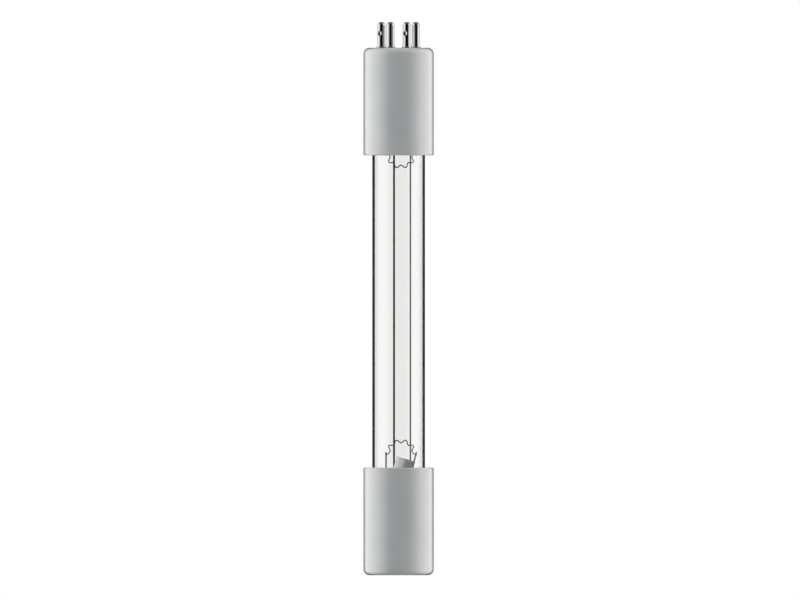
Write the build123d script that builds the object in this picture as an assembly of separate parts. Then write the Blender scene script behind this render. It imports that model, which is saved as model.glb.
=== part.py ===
from build123d import *
import os
from math import cos, pi, radians, sin

# A straight germicidal lamp with four contact pins at one end. Millimetres.
# Z runs from the far cap's closed face, at z = 0, up through the pins. X runs
# across the filaments, and the two return wires lie along the tube's back, +Y.

# Tube
body_length = 150.0  # between the closed faces of the two caps
tube_d = 15.0
tube_wall = 1.0
far_tube_seat = 10.0  # the far cap's closed face to the tube's end
socket_tube_seat = 7.0  # the same in the socket cap

# Fits
fit = 0.02  # between curved faces that seat in each other
pin_hole_fit = 0.03

# Wires
lead_d = 0.44
return_wire_d = 0.62
slim_return_wire_d = 0.52
return_wire_angle = 10.6  # from the back, towards -X
slim_return_wire_angle = 28.8  # from the back, towards +X
wire_bend = 0.6
wire_sides = 8  # flats of a thin wire's section
coil_sides = 6  # flats of the still thinner filament wire

# Caps
cap_length = 30.6
cap_wall = 1.6
crown = 2.6
cap_end_round = 1.7
cap_mouth_round = 0.4
cap_lip_edge = 0.2
cap_inner_edge = 1.0
wire_cover = 0.24  # basing cement between the return wire and the cap
cement_recess = 0.8
cement_length = 8.0

# Contact pins
pin_pitch_wide = 7.92
pin_pitch_narrow = 6.35
pin_turn = -24.0
pin_d = 2.3
pin_wall = 0.4
pin_height = 7.3
pin_tip_round = 0.9
pin_bore_edge = 0.35
foot_flare = 0.35
foot_height = 1.3
foot_edge = 0.12
rivet_flare = 0.35
rivet_thickness = 0.6
dimple_height = 4.1
dimple_punch_r = 0.83
dimple_off_seam = 22.5  # so that the dimple never lands on the drawn tube's seam
lead_grip = 1.3  # lead beyond the dimple
pin_lead_drop = 1.0  # straight lead below the crown

# Glass stems, measured from the tube's end
stem_d = 7.8
stem_wall = 0.8
stem_neck_top = 7.0
press_start = 9.4
press_top = 14.0
press_thickness = 2.6
press_margin = 1.7  # glass beyond each lead
press_round = 0.4
lead_spacing = 5.2
weld_height = 10.8  # where the posts meet the outer leads
exhaust_d = 2.4
exhaust_bore_d = 1.2
exhaust_drop = 4.3
exhaust_taper = 1.7
exhaust_tip_r = 0.35

# Filaments and their posts
post_d = 0.48
post_bend = 0.6
filament_wire_d = 0.34
filament_offset_x = 0.69
far_post_reach = 24.4  # tube's end to the filament legs
socket_post_reach = 23.1
upright_post_x = -3.58
leaning_post_x = 4.92
arch_half_width = 3.6
arch_rise = 3.2
arch_lift = 0.5  # arch centre above the legs
arch_sweep = 158.0
coil_turns = 4
coil_r = 0.45
points_per_turn = 6
leg_length = 0.56
hook_tail = 0.35

# Dispenser strip on the far leaning post
strip_thickness = 0.2
strip_height = 5.2
strip_flat = 0.9
strip_overhang = 0.15  # strip beyond the middle of its post
strip_bend_r = 5.7
strip_bend = 54.0
strip_tilt = 17.5
strip_drop = 4.6  # filament legs to the strip's middle

# Crimp sleeves that join the far leads to the return wires
sleeve_d = 1.3
sleeve_length = 2.8
sleeve_edge = 0.12
sleeve_y = 4.0
sleeve_drop = 3.2  # tube's end to the sleeves
crimp_r = 0.5
crimp_depth = 0.12
crimp_pitch = 1.2

# Worked out from the above
tube_r = tube_d / 2
tube_bore_r = tube_r - tube_wall
cap_bore_r = tube_r + return_wire_d + 2 * fit + wire_cover
cap_r = cap_bore_r + cap_wall
pin_r = pin_d / 2
pin_bore_r = pin_r - pin_wall
shank = crown + rivet_thickness
stem_r = stem_d / 2
lead_x = lead_spacing / 2
press_half_width = lead_x + press_margin
hook_r = post_d / 2 + filament_wire_d / 2 + fit
filament_y = -hook_r
socket_tube_end = body_length - socket_tube_seat
sleeve_z = far_tube_seat - sleeve_drop
far_end = Pos(Z=far_tube_seat)
socket_end = Pos(Z=socket_tube_end) * Rot(X=180)


def bar(radius, bottom, top):
    """A round bar on Z between two heights."""
    low = (Align.CENTER, Align.CENTER, Align.MIN)
    return Pos(Z=bottom) * Cylinder(radius, top - bottom, align=low)


def swept_wire(diameter, path, sides=wire_sides):
    """A thin wire along a path."""
    section = Plane(origin=path @ 0, z_dir=path % 0) * RegularPolygon(diameter / 2, sides)
    return sweep(section, path=path)


def bent_wire(diameter, bend, *points):
    """A thin wire through points, with the same bend at each corner."""
    return swept_wire(diameter, FilletPolyline(*points, radius=bend))


def return_wire_place(diameter, angle):
    """Where a return wire lies against the outside of the tube."""
    reach = tube_r + fit + diameter / 2
    return Vector(reach * sin(radians(angle)), reach * cos(radians(angle)), 0)


def pin_place(wide_side, narrow_side):
    """The foot of one pin, from its sides of the oblong pattern."""
    u = wide_side * pin_pitch_wide / 2
    v = narrow_side * pin_pitch_narrow / 2
    turn = radians(pin_turn)
    return Vector(u * cos(turn) - v * sin(turn), u * sin(turn) + v * cos(turn), body_length)


# Tube, caps and cement

def quartz_tube():
    return bar(tube_r, far_tube_seat, socket_tube_end) - bar(tube_bore_r, far_tube_seat, socket_tube_end)


def end_cap():
    """A cup that stands on its closed face, with its mouth up."""
    cup = bar(cap_r, 0, cap_length)
    cup = fillet(cup.edges().group_by(Axis.Z)[0], cap_end_round)
    bore = bar(cap_bore_r, crown, cap_length + cap_wall)
    bore = chamfer(bore.edges().group_by(Axis.Z)[0], cap_inner_edge)
    cup -= bore
    rims = cup.edges().group_by(Axis.Z)[-1].sort_by(SortBy.RADIUS)
    cup = fillet(rims[-1], cap_mouth_round)
    lip = cup.edges().group_by(Axis.Z)[-1].sort_by(SortBy.RADIUS)[0]
    return chamfer(lip, cap_lip_edge)


def socket_cap(pins):
    cap = Pos(Z=body_length) * Rot(X=180) * end_cap()
    for foot in pins:
        hole = bar(pin_r + pin_hole_fit, body_length - shank, body_length + crown)
        cap -= Pos(foot.X, foot.Y) * hole
    return cap


def cement_ring(bottom, wires):
    """Basing cement in a cap's mouth, moulded round the return wires."""
    top = bottom + cement_length
    ring = bar(cap_bore_r - fit, bottom, top) - bar(tube_r + fit, bottom, top)
    for diameter, place in wires:
        ring -= Pos(place.X, place.Y) * bar(diameter / 2 + fit, bottom, top)
    return ring


# Contact pins

def pin_foot():
    """The flared foot on the cap's face."""
    rim = pin_r + foot_flare
    with BuildSketch(Plane.XZ) as half:
        with BuildLine():
            Polyline((pin_r, foot_height), (pin_bore_r, foot_height), (pin_bore_r, 0),
                     (rim, 0), (rim, foot_edge))
            EllipticalCenterArc((rim, foot_height), foot_flare, foot_height - foot_edge, 180,
                                arc_size=90)
        make_face()
    return revolve(half.sketch, Axis.Z)


def contact_pin(wire_d):
    """A hollow pin riveted through the crown, dimpled onto its wire."""
    shell = bar(pin_r, -shank, pin_height)
    shell = fillet(shell.edges().group_by(Axis.Z)[-1], pin_tip_round)
    shell += pin_foot()
    shell += bar(pin_r + rivet_flare, -shank, -crown)
    bore = bar(pin_bore_r, -shank, pin_height - pin_wall)
    bore = chamfer(bore.edges().group_by(Axis.Z)[-1], pin_bore_edge)
    shell = Rot(Z=-dimple_off_seam) * (shell - bore)
    depth = pin_bore_r - wire_d / 2 - fit
    punch = Pos(Y=depth - pin_r - dimple_punch_r, Z=dimple_height)
    shell += bore & (punch * Sphere(dimple_punch_r + pin_wall))
    return shell - punch * Sphere(dimple_punch_r)


# Glass stems

def stem_flare():
    """The trumpet that seals into the tube's end, and the neck above it."""
    rim = tube_bore_r - fit
    sweep_r = rim - stem_r
    neck_base = stem_wall + sweep_r
    bore = stem_r - stem_wall
    roof = stem_neck_top - stem_wall
    with BuildSketch(Plane.XZ) as half:
        with BuildLine():
            CenterArc((rim, neck_base), sweep_r, 180, 90)
            Line((rim, stem_wall), (rim, 0))
            CenterArc((rim, neck_base), sweep_r + stem_wall, 270, -90)
            Polyline((bore, neck_base), (bore, roof), (0, roof), (0, stem_neck_top),
                     (stem_r, stem_neck_top), (stem_r, neck_base))
        make_face()
    return revolve(half.sketch, Axis.Z)


def tipped_bar(radius, tip_r, bottom, top):
    """A round bar that tapers down to a small tip."""
    low = (Align.CENTER, Align.CENTER, Align.MIN)
    taper = Pos(Z=bottom) * Cone(tip_r, radius, exhaust_taper, align=low)
    return bar(radius, bottom + exhaust_taper, top) + taper


def glass_stem(has_exhaust):
    """Flare, neck and pinched press, with a way through it for each lead."""
    oval = Ellipse(press_half_width, press_thickness / 2)
    brow = Ellipse(press_half_width - press_round, press_thickness / 2 - press_round)
    neck = loft([Pos(Z=stem_neck_top) * Circle(stem_r), Pos(Z=press_start) * oval])
    press = extrude(Pos(Z=press_start) * oval, press_top - press_round - press_start)
    softened = loft([Pos(Z=press_top - press_round) * oval, Pos(Z=press_top) * brow])
    stem = stem_flare() + neck + press + softened
    roof = stem_neck_top - stem_wall
    for side in (-1, 1):
        stem -= Pos(side * lead_x) * bar(lead_d / 2 + fit, roof, weld_height)
        stem -= Pos(side * lead_x) * bar(post_d / 2 + fit, weld_height, press_top)
    if has_exhaust:
        stem += tipped_bar(exhaust_d / 2, exhaust_tip_r, -exhaust_drop, stem_neck_top)
        tip_wall = (exhaust_d - exhaust_bore_d) / 2
        stem -= tipped_bar(exhaust_bore_d / 2, 0, tip_wall - exhaust_drop, press_top)
    return stem


# Filaments and posts, measured from the tube's end

def hooked_post(reach, x, elbow):
    """A post from the press up to a hook that is folded over a filament leg."""
    base = Vector(lead_x if x > 0 else -lead_x, 0, weld_height)
    bend = Vector(base.X, 0, press_top + post_bend)
    tip = Vector(x, 0, reach)
    points = [base, bend] + elbow + [tip]
    lean = (tip - points[-2]).normalized()
    over = Vector(0, -hook_r, 0)
    far = tip + over * 2
    stalk = FilletPolyline(*points, radius=post_bend)
    hook = ThreePointArc(tip, tip + over + lean * hook_r, far)
    tail = Line(far, far - lean * hook_tail)
    return swept_wire(post_d, Wire([*stalk.edges(), hook.edge(), tail.edge()]))


def coil_point(turn, base_z):
    """A point on the coil, whose axis is an arch over the posts."""
    share = turn / coil_turns
    angle = radians(90 + arch_sweep * (0.5 - share))
    axis = Vector(arch_half_width * cos(angle), filament_y, base_z + arch_rise * sin(angle))
    outward = Vector(cos(angle) / arch_half_width, 0, sin(angle) / arch_rise).normalized()
    phase = 2 * pi * (turn - coil_turns / 2)
    wave = outward * (-coil_r * cos(phase)) + Vector(0, coil_r * sin(phase), 0)
    return Vector(filament_offset_x, 0, 0) + axis + wave


def filament(reach, left_x, right_x):
    """A coiled filament with a straight leg under each hook."""
    along = Vector(leg_length / 2, 0, 0)
    left_leg = Vector(left_x, filament_y, reach)
    right_leg = Vector(right_x, filament_y, reach)
    steps = coil_turns * points_per_turn
    coil = [coil_point(step / points_per_turn, reach + arch_lift) for step in range(steps + 1)]
    curve = Spline(left_leg + along, *coil, right_leg - along, tangents=[(1, 0, 0), (1, 0, 0)],
                   tangent_scalars=(1, 1))
    left = Line(left_leg - along, left_leg + along)
    right = Line(right_leg - along, right_leg + along)
    path = Wire([left.edge(), curve.edge(), right.edge()])
    return swept_wire(filament_wire_d, path, coil_sides)


def dispenser_strip():
    """A bowed metal strip welded behind the leaning post."""
    middle = (strip_overhang - strip_flat, strip_bend_r)
    with BuildSketch() as section:
        with BuildLine():
            front = CenterArc(middle, strip_bend_r, 270, -strip_bend)
            back = CenterArc(middle, strip_bend_r - strip_thickness, 270, -strip_bend)
            Line(front @ 1, back @ 1)
            Polyline(front @ 0, (strip_overhang, 0), (strip_overhang, strip_thickness), back @ 0)
        make_face()
    return extrude(section.sketch, strip_height / 2, both=True)


# Leads, sleeves and return wires

def far_lead(side):
    """From the weld in the press down to the sleeve."""
    x = side * lead_x
    top = far_tube_seat + weld_height
    return bent_wire(lead_d, wire_bend, (x, 0, top), (x, 0, sleeve_z), (x, sleeve_y - fit, sleeve_z))


def pin_wire_end(foot):
    """The last points of any wire that rises into a pin."""
    grip = body_length + dimple_height + lead_grip
    return (foot.X, foot.Y, body_length - shank - pin_lead_drop), (foot.X, foot.Y, grip)


def socket_lead(side, foot):
    """From the weld in the press up into a pin."""
    x = side * lead_x
    bottom = socket_tube_end - weld_height
    return bent_wire(lead_d, wire_bend, (x, 0, bottom), (x, 0, socket_tube_end), *pin_wire_end(foot))


def return_wire(diameter, place, side, foot):
    """From a sleeve, round the tube's end, along its back and up into a pin."""
    x = side * lead_x
    mouth = sleeve_y + sleeve_length / 2 + wire_bend
    return bent_wire(diameter, wire_bend, (x, sleeve_y + fit, sleeve_z), (x, mouth, sleeve_z),
                     (place.X, place.Y, sleeve_z), (place.X, place.Y, socket_tube_end + lead_d),
                     *pin_wire_end(foot))


def crimp_sleeve(side, wire_d):
    """A short tube along Y, dented onto the lead and the return wire that meet in it."""
    tube = bar(sleeve_d / 2, -sleeve_length / 2, sleeve_length / 2)
    tube = chamfer(tube.edges().filter_by(GeomType.CIRCLE), sleeve_edge)
    tube -= bar(max(lead_d, wire_d) / 2 + fit, -sleeve_length / 2, sleeve_length / 2)
    for end in (-1, 1):
        dent = Rot(Y=90) * Cylinder(crimp_r, sleeve_d)
        tube -= Pos(Y=sleeve_d / 2 + crimp_r - crimp_depth, Z=end * crimp_pitch / 2) * dent
    return Pos(side * lead_x, sleeve_y, sleeve_z) * Rot(X=90) * tube


# Assembly

left_front = pin_place(-1, -1)
left_back = pin_place(-1, 1)
right_front = pin_place(1, -1)
right_back = pin_place(1, 1)
pin_feet = [left_front, left_back, right_front, right_back]
pin_wires = [lead_d, return_wire_d, lead_d, slim_return_wire_d]
pin_turns = [pin_turn, pin_turn + 180, pin_turn, pin_turn + 180]

left_return = return_wire_place(return_wire_d, -return_wire_angle)
right_return = return_wire_place(slim_return_wire_d, slim_return_wire_angle)
return_wires = [(return_wire_d, left_return), (slim_return_wire_d, right_return)]

far_cement = cap_length - cement_recess - cement_length
socket_cement = body_length - cap_length + cement_recess
elbow_height = press_top + 3 * post_bend + abs(upright_post_x) - lead_x
upright_elbow = Vector(upright_post_x, 0, elbow_height)
strip_height_up = far_post_reach - strip_drop
lean_start = press_top + post_bend
strip_share = (strip_height_up - lean_start) / (far_post_reach - lean_start)
strip_x = lead_x + strip_share * (leaning_post_x - lead_x)
strip_seat = Pos(strip_x, post_d / 2 + fit, strip_height_up)

nodes = {
    "quartz_tube": quartz_tube(),
    "far_end_cap": end_cap(),
    "socket_end_cap": socket_cap(pin_feet),
    "far_cement_ring": cement_ring(far_cement, return_wires),
    "socket_cement_ring": cement_ring(socket_cement, return_wires),
    "far_stem": far_end * glass_stem(True),
    "socket_stem": socket_end * glass_stem(False),
    "far_left_post": far_end * hooked_post(far_post_reach, upright_post_x, [upright_elbow]),
    "far_right_post": far_end * hooked_post(far_post_reach, leaning_post_x, []),
    "socket_left_post": socket_end * hooked_post(socket_post_reach, upright_post_x, []),
    "socket_right_post": socket_end * hooked_post(socket_post_reach, leaning_post_x, []),
    "far_filament": far_end * filament(far_post_reach, upright_post_x, leaning_post_x),
    "socket_filament": socket_end * filament(socket_post_reach, upright_post_x, leaning_post_x),
    "dispenser_strip": far_end * strip_seat * Rot(Y=strip_tilt) * dispenser_strip(),
    "far_left_lead": far_lead(-1),
    "far_right_lead": far_lead(1),
    "socket_left_lead": socket_lead(-1, left_front),
    "socket_right_lead": socket_lead(1, right_front),
    "left_return_wire": return_wire(return_wire_d, left_return, -1, left_back),
    "right_return_wire": return_wire(slim_return_wire_d, right_return, 1, right_back),
    "left_crimp_sleeve": crimp_sleeve(-1, return_wire_d),
    "right_crimp_sleeve": crimp_sleeve(1, slim_return_wire_d),
}
for count, (foot, wire_d, turn) in enumerate(zip(pin_feet, pin_wires, pin_turns), start=1):
    nodes[f"contact_pin_{count}"] = Pos(foot) * Rot(Z=turn) * contact_pin(wire_d)

os.makedirs("parts", exist_ok=True)
for name, solid in nodes.items():
    solid.label = name
    export_step(solid, f"parts/{name}.step")
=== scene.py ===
import bpy
import math
import numpy as np
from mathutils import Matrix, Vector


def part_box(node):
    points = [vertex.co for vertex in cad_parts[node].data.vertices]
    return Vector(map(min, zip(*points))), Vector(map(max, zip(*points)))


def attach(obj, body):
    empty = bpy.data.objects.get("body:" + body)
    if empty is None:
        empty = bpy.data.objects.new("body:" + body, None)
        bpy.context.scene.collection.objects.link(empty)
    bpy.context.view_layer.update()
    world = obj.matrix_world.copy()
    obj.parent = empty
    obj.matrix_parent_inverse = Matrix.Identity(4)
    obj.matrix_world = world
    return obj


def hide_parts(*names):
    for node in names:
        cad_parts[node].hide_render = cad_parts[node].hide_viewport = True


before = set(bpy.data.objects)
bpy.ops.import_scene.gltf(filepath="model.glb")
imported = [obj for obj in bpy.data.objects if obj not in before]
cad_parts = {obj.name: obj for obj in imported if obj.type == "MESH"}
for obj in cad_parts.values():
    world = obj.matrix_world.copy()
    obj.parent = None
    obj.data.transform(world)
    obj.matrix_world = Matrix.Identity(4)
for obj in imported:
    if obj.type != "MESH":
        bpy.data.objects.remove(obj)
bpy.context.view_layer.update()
tube_low, tube_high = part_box("quartz_tube")
strip_low, strip_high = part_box("dispenser_strip")

# Photograph: a straight side view, with the lamp's axis and its lowest edge at
# these places. PIXEL is what one pixel covers of the lamp, in metres
PHOTO_WIDTH = 800
PHOTO_HEIGHT = 600
PIXEL = 0.0002844
AXIS_COLUMN = 398.6
BASE_ROW = 575.2
CAMERA_DISTANCE = 0.6
NEAREST_SEEN = 0.01
FARTHEST_SEEN = 10

# Studio: how bright the surroundings are, by degrees round the lamp from the
# viewer's side, to the left (minus) and to the right, for matt surfaces and
# for reflections. A stop has one grey value, or red, green and blue
DIFFUSE_RING = ((-180, 0.35), (-128, 1.20), (-106, 1.84, 1.73, 1.69), (-90, 1.72, 1.69, 1.66),
                (-76, 1.65, 1.65, 1.64), (-62, 1.46, 1.52, 1.54), (-48, 0.84, 0.96, 1.01), (-32, 0.01),
                (32, 0.01), (48, 0.94, 1.07, 1.12), (62, 1.44, 1.49, 1.49), (76, 1.38, 1.39, 1.36),
                (90, 1.44, 1.42, 1.39), (106, 1.69, 1.60, 1.58), (128, 1.20), (180, 0.35))
GLOSS_RING = ((-180, 0.02), (-143, 0.02), (-138, 1.0), (-75, 1.0), (-44, 0.5), (-34, 0.003),
              (34, 0.003), (46, 0.25), (80, 1.0), (139, 1.0), (144, 0.02), (180, 0.02))
LIGHT_ABOVE = 0.62
LIGHT_BELOW = 0.14
GLOSS_ABOVE = 0.10
GLOSS_BELOW = 0.04

# How steep a direction is, from 0 level to 1 upright, where the ring of light
# gives way to the light from above or below
DOME_EDGE = ((0.62, 0.0), (0.86, 1.0))

# What one bright pin shows of another one's surroundings
SECOND_GLOSS = (0.10, 0.10, 0.10, 1)

# A ray whose depth is over these has bounced at least once, or twice
FIRST_BOUNCE = 0.5
SECOND_BOUNCE = 1.5

# Floor: its size in metres, and the plain light that is mixed into its look
FLOOR_RADIUS = 0.7
FLOOR_SIDES = 96
FLOOR_GLOW = 1.62
FLOOR_GLOW_SHARE = 0.35
WHITE = (1, 1, 1, 1)

# Tube: its wall in metres, how dark the painted shade makes the outside as it turns
# away from the viewer, and the least that this turn is divided by, for a view along the tube
TUBE_WALL = 0.001
PAINTED_RIM_SHADE = ((0.53, 0.0), (0.61, 0.05), (0.65, 0.5), (0.68, 1.0))
LEAST_SPREAD = 0.02

# Filaments, in millimetres as in the CAD model. Each stands on one end of the
# tube, upright (1) or upside down (-1), with its legs this far from that end
FILAMENTS = {"far_filament": (1, 24.4), "socket_filament": (-1, 23.1)}
LEG_COLUMNS = (-3.58, 4.92)
LEG_LENGTH = 0.56
POST_WIDTH = 0.48
POST_FIT = 0.02
ARCH_SHIFT = 0.69
ARCH_HALF_WIDTH = 3.6
ARCH_RISE = 3.2
ARCH_LIFT = 0.5
ARCH_SWEEP = 158.0
COARSE_TURNS = 4
COARSE_RADIUS = 0.45
POINTS_PER_TURN = 6
STEPS_PER_SPAN = 60

# The fine winding along them, and the core inside it
OUTSIDE_RADIUS = 0.17
FINE_WIRE_RADIUS = 0.038
FINE_WIRE_SIDES = 5
FINE_PITCH = 0.098
STEPS_PER_FINE_TURN = 10
CORE_RADIUS = 0.085
CORE_SIDES = 8

# The filaments pass just in front of their posts
ROUTE_Y = -(POST_WIDTH / 2 + OUTSIDE_RADIUS + POST_FIT)
MM = 0.001


# Node helpers

def add(tree, kind, inputs=None, **settings):
    """Makes a node. Inputs are values, or sockets to link from."""
    made = tree.nodes.new(kind)
    for name, value in settings.items():
        setattr(made, name, value)
    for key, value in (inputs or {}).items():
        if isinstance(value, bpy.types.NodeSocket):
            tree.links.new(value, made.inputs[key])
        else:
            made.inputs[key].default_value = value
    return made


def math_node(tree, operation, first, second=0.0, third=0.0):
    return add(tree, "ShaderNodeMath", {0: first, 1: second, 2: third}, operation=operation).outputs[0]


def mixed(tree, factor, first, second):
    """Blends two colours by a factor from 0 to 1."""
    return add(tree, "ShaderNodeMix", {0: factor, 6: first, 7: second}, data_type="RGBA").outputs[2]


def mixed_shader(tree, factor, first, second):
    """Blends two shader nodes by a factor from 0 to 1, and returns the node that does it."""
    return add(tree, "ShaderNodeMixShader", {0: factor, 1: first.outputs[0], 2: second.outputs[0]})


def ramp(tree, factor, stops, smooth=True):
    """A curve through (position, value) stops, where a value is a number or a colour."""
    made = add(tree, "ShaderNodeValToRGB", {0: factor})
    made.color_ramp.interpolation = "EASE" if smooth else "LINEAR"
    elements = made.color_ramp.elements
    while len(elements) < len(stops):
        elements.new(0.5)
    for element, (position, value) in zip(elements, stops):
        element.position = position
        element.color = value if isinstance(value, tuple) else (value, value, value, 1)
    return made.outputs[0]


def noise(tree, scale, detail=2.0, roughness=0.5, stretch=(1, 1, 1)):
    """Noise in the object's own metres, stretched along an axis by a small factor there."""
    place = add(tree, "ShaderNodeTexCoord").outputs["Object"]
    sized = add(tree, "ShaderNodeMapping", {"Vector": place, "Scale": stretch}).outputs[0]
    inputs = {"Vector": sized, "Scale": scale, "Detail": detail, "Roughness": roughness}
    return add(tree, "ShaderNodeTexNoise", inputs).outputs["Fac"]


def bump(tree, height, strength, distance):
    inputs = {"Height": height, "Strength": strength, "Distance": distance}
    return add(tree, "ShaderNodeBump", inputs).outputs[0]


def new_material(name):
    """A material with a Principled shader only. Returns the material, its tree and the shader."""
    material = bpy.data.materials.new(name)
    material.use_nodes = True
    tree = material.node_tree
    tree.nodes.clear()
    shader = add(tree, "ShaderNodeBsdfPrincipled")
    add(tree, "ShaderNodeOutputMaterial", {"Surface": shader.outputs[0]})
    return material, tree, shader


def set_inputs(shader, **values):
    for name, value in values.items():
        shader.inputs[name.replace("_", " ")].default_value = value


def link(tree, source, shader, key):
    tree.links.new(source, shader.inputs[key])


def show(tree, shader):
    """Makes a shader the surface of its material."""
    link(tree, shader.outputs[0], tree.nodes["Material Output"], "Surface")


# Materials

def turned_away(tree):
    """How far round an upright tube a point is from the middle of what is seen, from 0 to 1 at its edge,
    whether the tube is seen straight on or from above."""
    facing = add(tree, "ShaderNodeLayerWeight", {"Blend": 0.5}).outputs["Facing"]
    upright = add(tree, "ShaderNodeCombineXYZ", {"Z": 1.0}).outputs[0]
    level = add(tree, "ShaderNodeLayerWeight", {"Blend": 0.5, "Normal": upright}).outputs["Facing"]
    toward = math_node(tree, "SUBTRACT", 1.0, facing)
    steep = math_node(tree, "SUBTRACT", 1.0, level)
    square = math_node(tree, "POWER", steep, 2.0)
    spread = math_node(tree, "SQRT", math_node(tree, "SUBTRACT", 1.0, square))
    share = math_node(tree, "DIVIDE", toward, math_node(tree, "MAXIMUM", spread, LEAST_SPREAD))
    return math_node(tree, "SUBTRACT", 1.0, share)


def outside_of_tube(tree):
    """1 on the outside of the tube's wall and 0 on its bore."""
    place = add(tree, "ShaderNodeTexCoord").outputs["Object"]
    level = add(tree, "ShaderNodeVectorMath", {0: place, 1: (1, 1, 0)}, operation="MULTIPLY").outputs[0]
    radius = add(tree, "ShaderNodeVectorMath", {0: level}, operation="LENGTH").outputs["Value"]
    return math_node(tree, "GREATER_THAN", radius, tube_high.x - TUBE_WALL / 2)


def quartz():
    """Clear drawn quartz, with painted shade where the outside of the wall is seen edge on."""
    material, tree, shader = new_material("quartz_glass")
    draw_lines = noise(tree, 900, stretch=(1, 1, 0.02))
    haze = noise(tree, 60, detail=3)
    tint = ramp(tree, haze, ((0.3, (0.964, 0.963, 0.955, 1)), (0.7, (0.970, 0.969, 0.961, 1))))
    link(tree, tint, shader, "Base Color")
    link(tree, ramp(tree, haze, ((0.35, 0.0), (0.75, 0.01))), shader, "Roughness")
    link(tree, bump(tree, draw_lines, strength=0.01, distance=0.0001), shader, "Normal")
    set_inputs(shader, Transmission_Weight=1.0, IOR=1.458)
    # Painted shade: a near-black shader on the outside of the wall where it turns away from the viewer, in
    # place of the dark that the thick glass bends into view.
    edge = add(tree, "ShaderNodeBsdfPrincipled")
    set_inputs(edge, Base_Color=(0.010, 0.010, 0.011, 1), Roughness=0.3, Specular_IOR_Level=0.0)
    rim_shade = ramp(tree, turned_away(tree), PAINTED_RIM_SHADE, smooth=False)
    glass = mixed_shader(tree, math_node(tree, "MULTIPLY", rim_shade, outside_of_tube(tree)), shader, edge)
    shadow = add(tree, "ShaderNodeLightPath").outputs["Is Shadow Ray"]
    clear = add(tree, "ShaderNodeBsdfTransparent", {"Color": (0.95, 0.955, 0.955, 1)})
    show(tree, mixed_shader(tree, shadow, glass, clear))
    return material


def stem_glass():
    """Softer lead glass with a few seeds and a faint tint."""
    material, tree, shader = new_material("stem_glass")
    seeds = noise(tree, 1500, detail=1)
    tint = ramp(tree, noise(tree, 120), ((0.3, (0.86, 0.91, 0.89, 1)), (0.7, (0.93, 0.96, 0.95, 1))))
    link(tree, tint, shader, "Base Color")
    link(tree, ramp(tree, seeds, ((0.4, 0.02), (0.8, 0.12))), shader, "Roughness")
    link(tree, bump(tree, seeds, strength=0.1, distance=0.0001), shader, "Normal")
    set_inputs(shader, Transmission_Weight=1.0, IOR=1.52)
    return material


def ceramic():
    """White glazed ceramic with a fine, slightly uneven surface."""
    material, tree, shader = new_material("cap_ceramic")
    cloud = noise(tree, 130, detail=4, roughness=0.55)
    grain = noise(tree, 2600, detail=3, roughness=0.6)
    colour = ramp(tree, cloud, ((0.30, (0.815, 0.820, 0.812, 1)), (0.70, (0.845, 0.848, 0.840, 1))))
    specks = ramp(tree, noise(tree, 5200, detail=1), ((0.72, 0.0), (0.80, 0.12)))
    link(tree, mixed(tree, specks, colour, (0.70, 0.70, 0.68, 1)), shader, "Base Color")
    link(tree, ramp(tree, cloud, ((0.3, 0.16), (0.7, 0.24))), shader, "Roughness")
    link(tree, bump(tree, grain, strength=0.12, distance=0.00003), shader, "Normal")
    set_inputs(shader, Specular_IOR_Level=0.5, Coat_Weight=1.0, Coat_IOR=1.65, Coat_Roughness=0.04)
    return material


def cement():
    """Matt basing cement, sandy and a little chalky."""
    material, tree, shader = new_material("basing_cement")
    grit = noise(tree, 3200, detail=4, roughness=0.7)
    tone = ramp(tree, grit, ((0.3, (0.56, 0.54, 0.49, 1)), (0.7, (0.74, 0.72, 0.67, 1))))
    link(tree, tone, shader, "Base Color")
    link(tree, bump(tree, grit, strength=0.6, distance=0.00012), shader, "Normal")
    set_inputs(shader, Roughness=0.92)
    return material


def drawn_metal(name, dark, light, rough, depth=0.05, **finish):
    """Metal with drawing lines along Z and a cloudy tone. Its colour and its roughness each lie between
    two values, and finish holds any other inputs that aren't plain metal's."""
    material, tree, shader = new_material(name)
    cloud = noise(tree, 400, detail=3)
    streaks = noise(tree, 4000, stretch=(1, 1, 0.03))
    link(tree, ramp(tree, cloud, ((0.3, dark), (0.7, light))), shader, "Base Color")
    link(tree, ramp(tree, streaks, ((0.3, rough[0]), (0.7, rough[1]))), shader, "Roughness")
    link(tree, bump(tree, streaks, strength=depth, distance=0.00002), shader, "Normal")
    set_inputs(shader, **{"Metallic": 1.0, **finish})
    return material


def dispenser_metal():
    """Rolled strip with a cloudy tone, and painted shade that darkens it towards the post that it is welded
    to.
    """
    material, tree, shader = new_material("strip_steel")
    place = add(tree, "ShaderNodeTexCoord").outputs["Object"]
    across = add(tree, "ShaderNodeSeparateXYZ", {0: place}).outputs["X"]
    reach = {"Value": across, "From Min": strip_low.x, "From Max": strip_high.x}
    share = add(tree, "ShaderNodeMapRange", reach).outputs[0]
    cloud = math_node(tree, "MULTIPLY", noise(tree, 900, detail=3), 0.16)
    # Painted shade: the colour darkens across the strip towards the post, in place of the post's shadow and
    # the dark that the strip's front reflects. The added cloud is the strip's own uneven tone.
    tone = ramp(tree, math_node(tree, "ADD", share, cloud), ((0.12, (0.95, 0.95, 0.94, 1)),
                                                             (0.45, (0.81, 0.83, 0.84, 1)),
                                                             (0.80, (0.61, 0.63, 0.64, 1))))
    rolling = noise(tree, 2500, stretch=(0.05, 1, 1))
    link(tree, tone, shader, "Base Color")
    link(tree, ramp(tree, rolling, ((0.3, 0.28), (0.7, 0.35))), shader, "Roughness")
    set_inputs(shader, Metallic=0.55)
    return material


def dress(names, material):
    """Gives CAD nodes a finished material."""
    for name in names:
        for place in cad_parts[name].material_slots:
            place.material = material


# Coiled filaments

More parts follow.
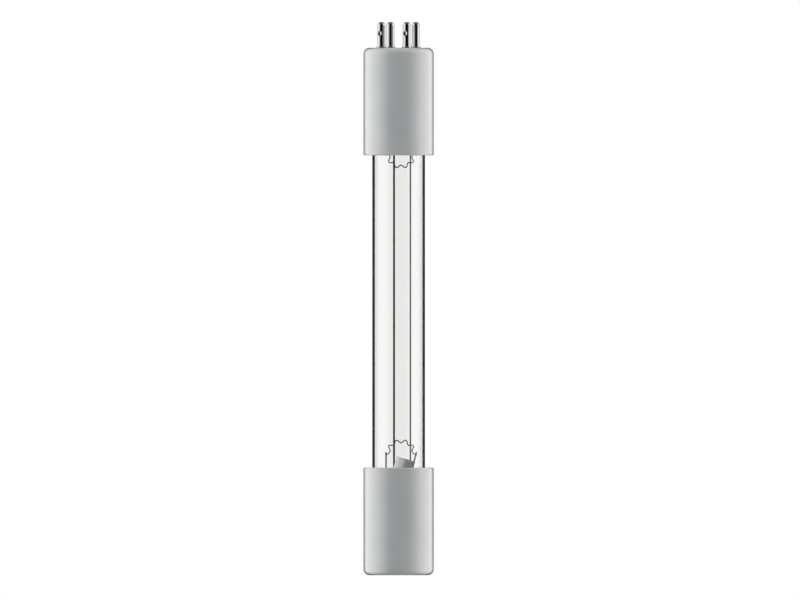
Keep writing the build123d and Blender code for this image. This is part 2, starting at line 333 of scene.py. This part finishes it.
def arch_point(turn, base):
    """A point on the coarse coil, whose axis is an arch over the posts."""
    angle = math.radians(90 + ARCH_SWEEP * (0.5 - turn / COARSE_TURNS))
    axis = np.array((ARCH_HALF_WIDTH * math.cos(angle), ROUTE_Y, base + ARCH_RISE * math.sin(angle)))
    outward = np.array((math.cos(angle) / ARCH_HALF_WIDTH, 0, math.sin(angle) / ARCH_RISE))
    outward /= np.linalg.norm(outward)
    phase = 2 * math.pi * (turn - COARSE_TURNS / 2)
    wave = -COARSE_RADIUS * math.cos(phase) * outward + np.array((0, COARSE_RADIUS * math.sin(phase), 0))
    return axis + wave + np.array((ARCH_SHIFT, 0, 0))


def smooth_curve(points):
    """Many points on a smooth curve through a few, level along X at both ends."""
    chord = np.linalg.norm(np.diff(points, axis=0), axis=1)
    count = len(points)
    rows, slopes = np.eye(count), np.zeros((count, 3))
    slopes[0] = slopes[-1] = (1, 0, 0)
    for here in range(1, count - 1):
        before, after = chord[here - 1], chord[here]
        rows[here, here - 1:here + 2] = (after, 2 * (before + after), before)
        slopes[here] = 3 * (after * (points[here] - points[here - 1]) / before
                            + before * (points[here + 1] - points[here]) / after)
    slopes = np.linalg.solve(rows, slopes)
    fine = []
    for here, span in enumerate(chord):
        share = np.linspace(0, 1, STEPS_PER_SPAN, endpoint=False)[:, None]
        start, end = points[here], points[here + 1]
        fine.append((1 + 2 * share) * (1 - share) ** 2 * start + share ** 2 * (3 - 2 * share) * end
                    + span * share * (1 - share) * ((1 - share) * slopes[here] - share * slopes[here + 1]))
    return np.vstack(fine + [points[-1:]])


def even_steps(line, spacing):
    """Points along a line at even distances, close to the spacing."""
    along = np.concatenate(([0], np.cumsum(np.linalg.norm(np.diff(line, axis=0), axis=1))))
    places = np.linspace(0, along[-1], int(along[-1] / spacing) + 1)
    return np.stack([np.interp(places, along, line[:, axis]) for axis in range(3)], axis=1)


def filament_route(reach):
    """The middle of the fine winding: a straight leg, the coarse coil and the other leg."""
    half_leg = np.array((LEG_LENGTH / 2, 0, 0))
    left, right = [np.array((column, ROUTE_Y, reach)) for column in LEG_COLUMNS]
    steps = COARSE_TURNS * POINTS_PER_TURN
    coil = [arch_point(step / POINTS_PER_TURN, reach + ARCH_LIFT) for step in range(steps + 1)]
    curve = smooth_curve(np.array([left + half_leg] + coil + [right - half_leg]))
    leg = np.array((LEG_LENGTH - FINE_WIRE_RADIUS, 0, 0))
    line = np.vstack((curve[:1] - leg, curve, curve[-1:] + leg))
    return even_steps(line, FINE_PITCH / STEPS_PER_FINE_TURN)


def carried_frames(route):
    """Two directions square to the route at each point, turned no more than the route turns."""
    ahead = np.gradient(route, axis=0)
    ahead /= np.linalg.norm(ahead, axis=1)[:, None]
    side = np.array((0.0, 0.0, 1.0))
    sides = []
    for direction in ahead:
        side = side - direction * side.dot(direction)
        side /= np.linalg.norm(side)
        sides.append(side)
    sides = np.array(sides)
    return sides, np.cross(ahead, sides)


def add_wire(vertices, faces, route, radius, around):
    """Adds a round wire along the route, closed at both ends."""
    sides, ups = carried_frames(route)
    base = len(vertices)
    turns = np.linspace(0, 2 * np.pi, around, endpoint=False)
    circle = np.cos(turns)[None, :, None] * sides[:, None] + np.sin(turns)[None, :, None] * ups[:, None]
    vertices.extend((route[:, None] + radius * circle).reshape(-1, 3).tolist())
    for row in range(len(route) - 1):
        low, high = base + row * around, base + (row + 1) * around
        for place in range(around):
            after = (place + 1) % around
            faces.append((low + place, low + after, high + after, high + place))
    last = base + (len(route) - 1) * around
    faces.append(tuple(reversed(range(base, base + around))))
    faces.append(tuple(range(last, last + around)))


def coiled_filament(node, material):
    """The filament as its wire really is: wound finely round a core, and that winding coiled again."""
    way, reach = FILAMENTS[node]
    end = tube_low.z if way > 0 else tube_high.z
    route = filament_route(reach)
    sides, ups = carried_frames(route)
    turns = (2 * np.pi / STEPS_PER_FINE_TURN * np.arange(len(route)))[:, None]
    winding = route + (OUTSIDE_RADIUS - FINE_WIRE_RADIUS) * (np.cos(turns) * sides + np.sin(turns) * ups)
    vertices, faces = [], []
    add_wire(vertices, faces, winding, FINE_WIRE_RADIUS, FINE_WIRE_SIDES)
    add_wire(vertices, faces, route[::STEPS_PER_FINE_TURN], CORE_RADIUS, CORE_SIDES)
    placed = np.array(vertices) * (MM, way * MM, way * MM) + (0, 0, end)
    mesh = bpy.data.meshes.new(f"{node}_wound")
    mesh.from_pydata(placed.tolist(), [], faces)
    mesh.polygons.foreach_set("use_smooth", [len(face) == 4 for face in faces])
    mesh.update()
    mesh.materials.append(material)
    piece = bpy.data.objects.new(f"{node}_wound", mesh)
    bpy.context.collection.objects.link(piece)
    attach(piece, "root")
    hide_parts(node)


# Studio

def ring(tree, share, stops):
    """Light by degrees away from the viewer's side. Values over 1 are kept."""
    top = max(max(shade) for _, *shade in stops)
    scaled = []
    for degrees, *shade in stops:
        red, green, blue = shade if len(shade) == 3 else shade * 3
        scaled.append(((degrees + 180) / 360, (red / top, green / top, blue / top, 1)))
    shaped = ramp(tree, share, scaled)
    return add(tree, "ShaderNodeVectorMath", {0: shaped, "Scale": top}, operation="SCALE").outputs[0]


def studio_world():
    """Surroundings with one look for matt surfaces, one for reflections, and plain white for the viewer."""
    world = bpy.data.worlds.new("studio")
    bpy.context.scene.world = world
    world.use_nodes = True
    tree = world.node_tree
    tree.nodes.clear()
    toward = add(tree, "ShaderNodeTexCoord").outputs["Generated"]
    axes = add(tree, "ShaderNodeSeparateXYZ", {0: toward})
    back = math_node(tree, "MULTIPLY", axes.outputs["Y"], -1.0)
    angle = math_node(tree, "ARCTAN2", axes.outputs["X"], back)
    share = math_node(tree, "MULTIPLY_ADD", angle, 0.5 / math.pi, 0.5)
    height = axes.outputs["Z"]
    above = ramp(tree, height, DOME_EDGE)
    below = ramp(tree, math_node(tree, "MULTIPLY", height, -1.0), DOME_EDGE)

    def dome(stops, over, under):
        level = mixed(tree, above, ring(tree, share, stops), (over, over, over, 1))
        return mixed(tree, below, level, (under, under, under, 1))

    light = add(tree, "ShaderNodeLightPath").outputs
    twice = math_node(tree, "GREATER_THAN", light["Glossy Depth"], SECOND_BOUNCE)
    outside_glass = math_node(tree, "LESS_THAN", light["Transmission Depth"], FIRST_BOUNCE)
    between_pins = math_node(tree, "MULTIPLY", twice, outside_glass)
    gloss = mixed(tree, between_pins, dome(GLOSS_RING, GLOSS_ABOVE, GLOSS_BELOW), SECOND_GLOSS)
    mirrored = math_node(tree, "MAXIMUM", light["Is Glossy Ray"], light["Is Transmission Ray"])
    level = mixed(tree, mirrored, dome(DIFFUSE_RING, LIGHT_ABOVE, LIGHT_BELOW), gloss)
    straight = math_node(tree, "LESS_THAN", light["Glossy Depth"], FIRST_BOUNCE)
    through = math_node(tree, "MULTIPLY", light["Is Transmission Ray"], straight)
    seen = math_node(tree, "MAXIMUM", light["Is Camera Ray"], through)
    backdrop = add(tree, "ShaderNodeBackground", {"Color": mixed(tree, seen, level, WHITE)})
    add(tree, "ShaderNodeOutputWorld", {"Surface": backdrop.outputs[0]})


def studio_floor():
    """A pale round floor that keeps the lamp's shadow. Mirrored rays pass it, so that the tube's edges
    show the same surroundings over their whole length."""
    bpy.ops.mesh.primitive_circle_add(vertices=FLOOR_SIDES, radius=FLOOR_RADIUS, fill_type="NGON")
    floor = bpy.context.object
    floor.name = "studio_floor"
    material, tree, shader = new_material("studio_floor")
    tone = ramp(tree, noise(tree, 12, detail=3), ((0.3, 0.86), (0.7, 0.88)))
    link(tree, tone, shader, "Base Color")
    set_inputs(shader, Roughness=0.9)
    glow = add(tree, "ShaderNodeEmission", {"Color": WHITE, "Strength": FLOOR_GLOW})
    lit = mixed_shader(tree, FLOOR_GLOW_SHARE, shader, glow)
    depth = add(tree, "ShaderNodeLightPath").outputs["Glossy Depth"]
    mirrored = math_node(tree, "GREATER_THAN", depth, FIRST_BOUNCE)
    show(tree, mixed_shader(tree, mirrored, lit, add(tree, "ShaderNodeBsdfTransparent")))
    floor.data.materials.append(material)
    floor.visible_diffuse = False
    floor.visible_glossy = False


def photo_camera():
    """A straight side view at the photograph's scale."""
    data = bpy.data.cameras.new("photo_camera")
    data.type = "ORTHO"
    data.ortho_scale = PHOTO_WIDTH * PIXEL
    data.clip_start = NEAREST_SEEN
    data.clip_end = FARTHEST_SEEN
    camera = bpy.data.objects.new("photo_camera", data)
    bpy.context.collection.objects.link(camera)
    across = (PHOTO_WIDTH / 2 - AXIS_COLUMN) * PIXEL
    up = (BASE_ROW - PHOTO_HEIGHT / 2) * PIXEL
    camera.location = (across, -CAMERA_DISTANCE, up)
    camera.rotation_euler = (math.radians(90), 0, 0)
    bpy.context.scene.camera = camera
    bpy.context.scene.view_settings.view_transform = "Standard"


# The lamp's finish

nickel = drawn_metal("post_nickel", (0.17, 0.175, 0.175, 1), (0.25, 0.255, 0.255, 1), (0.28, 0.42))
copper = drawn_metal("lead_copper", (0.55, 0.28, 0.16, 1), (0.72, 0.42, 0.27, 1), (0.22, 0.38))
brass = drawn_metal("sleeve_brass", (0.56, 0.42, 0.17, 1), (0.74, 0.58, 0.28, 1), (0.22, 0.36))
plate = drawn_metal("pin_nickel", (0.78, 0.78, 0.775, 1), (0.86, 0.86, 0.855, 1), (0.02, 0.05), depth=0.01)
black_wire = drawn_metal("return_wire_oxide", 0.006, (0.014, 0.013, 0.013, 1), (0.5, 0.65),
                         Metallic=0.0, Specular_IOR_Level=0.15)
bare_wire = drawn_metal("return_wire_bare", 0.012, 0.022, (0.35, 0.5), Metallic=0.35)
tungsten = drawn_metal("filament_tungsten", 0.12, 0.20, (0.4, 0.6))

dress(["quartz_tube"], quartz())
dress(["far_stem", "socket_stem"], stem_glass())
dress(["far_end_cap", "socket_end_cap"], ceramic())
dress(["far_cement_ring", "socket_cement_ring"], cement())
dress([f"{end}_{side}_post" for end in ("far", "socket") for side in ("left", "right")], nickel)
dress([f"{end}_{side}_lead" for end in ("far", "socket") for side in ("left", "right")], copper)
dress(["left_crimp_sleeve", "right_crimp_sleeve"], brass)
dress([f"contact_pin_{count}" for count in (1, 2, 3, 4)], plate)
dress(["left_return_wire"], black_wire)
dress(["right_return_wire"], bare_wire)
dress(["dispenser_strip"], dispenser_metal())
for node in FILAMENTS:
    coiled_filament(node, tungsten)

photo_camera()
studio_world()
studio_floor()
